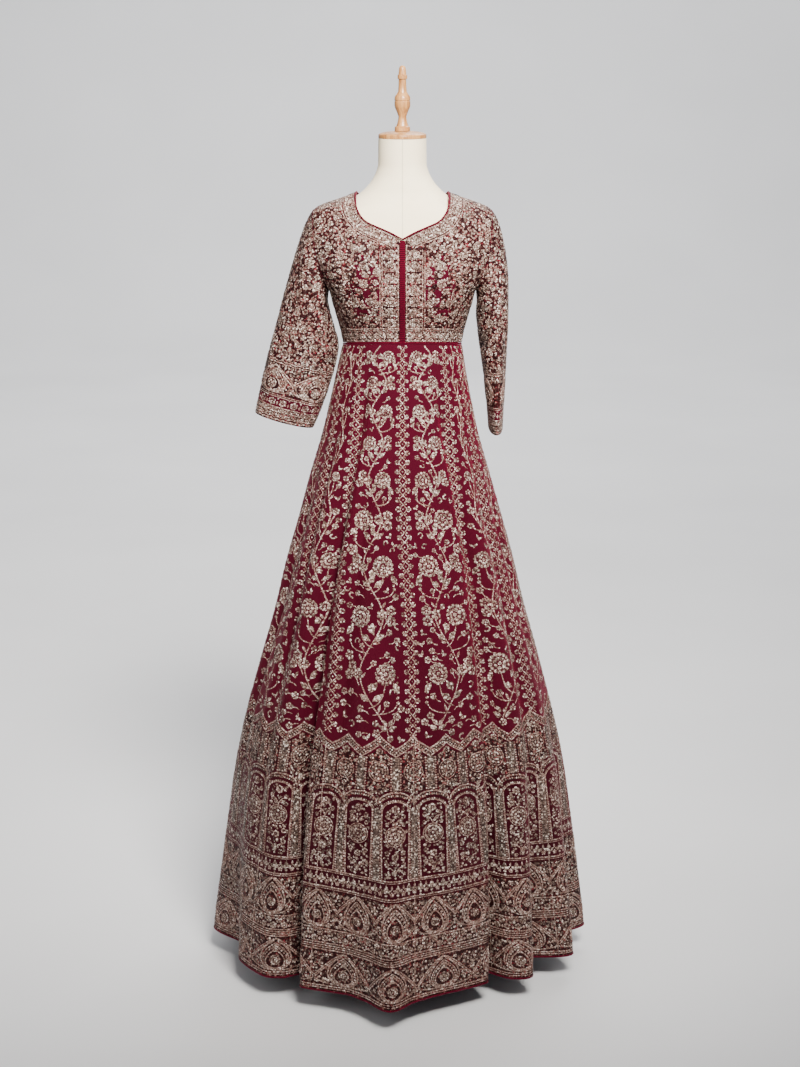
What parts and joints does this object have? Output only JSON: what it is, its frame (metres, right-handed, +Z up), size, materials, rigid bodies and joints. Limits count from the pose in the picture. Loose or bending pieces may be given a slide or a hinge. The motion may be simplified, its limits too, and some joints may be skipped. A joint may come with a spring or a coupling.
{
  "type": "anarkali gown on a dress form",
  "caption": "Full-length maroon anarkali gown with flared kali panels, elbow sleeves and silver-beige zari embroidery, worn by a limbless dress form with a turned finial.",
  "frame": {"origin": "centre of the base plate's underside, on the floor", "axes": "+Z up; the gown's front faces -Y; the wearer's right is -X"},
  "size_m": [0.7175, 0.7042, 1.6787],
  "materials": {
    "zari_cloth": "maroon silk, densely embroidered in pale silver-beige zari, cord and sequins",
    "maroon_cloth": "deep maroon silk with a soft sheen",
    "form_fabric": "plain cream cotton jersey stretched over the form",
    "light_wood": "light turned wood, satin varnish",
    "stand_metal": "dark satin paint"
  },
  "bodies": {
    "root": {"form_torso": "form_fabric", "form_cap": "light_wood", "form_finial": "light_wood", "form_pole": "stand_metal", "form_base": "stand_metal", "bodice_front_right": "zari_cloth", "bodice_front_left": "zari_cloth", "bodice_back": "zari_cloth", "placket": "maroon_cloth", "neck_piping": "maroon_cloth", "waist_piping": "maroon_cloth", "hem_piping": "maroon_cloth", "sleeve_right": "zari_cloth", "sleeve_left": "zari_cloth", "kali_01": "zari_cloth", "kali_02": "zari_cloth", "kali_03": "zari_cloth", "kali_04": "zari_cloth", "kali_05": "zari_cloth", "kali_06": "zari_cloth", "kali_07": "zari_cloth", "kali_08": "zari_cloth", "kali_09": "zari_cloth", "kali_10": "zari_cloth", "kali_11": "zari_cloth", "kali_12": "zari_cloth"}
  },
  "joints": []
}
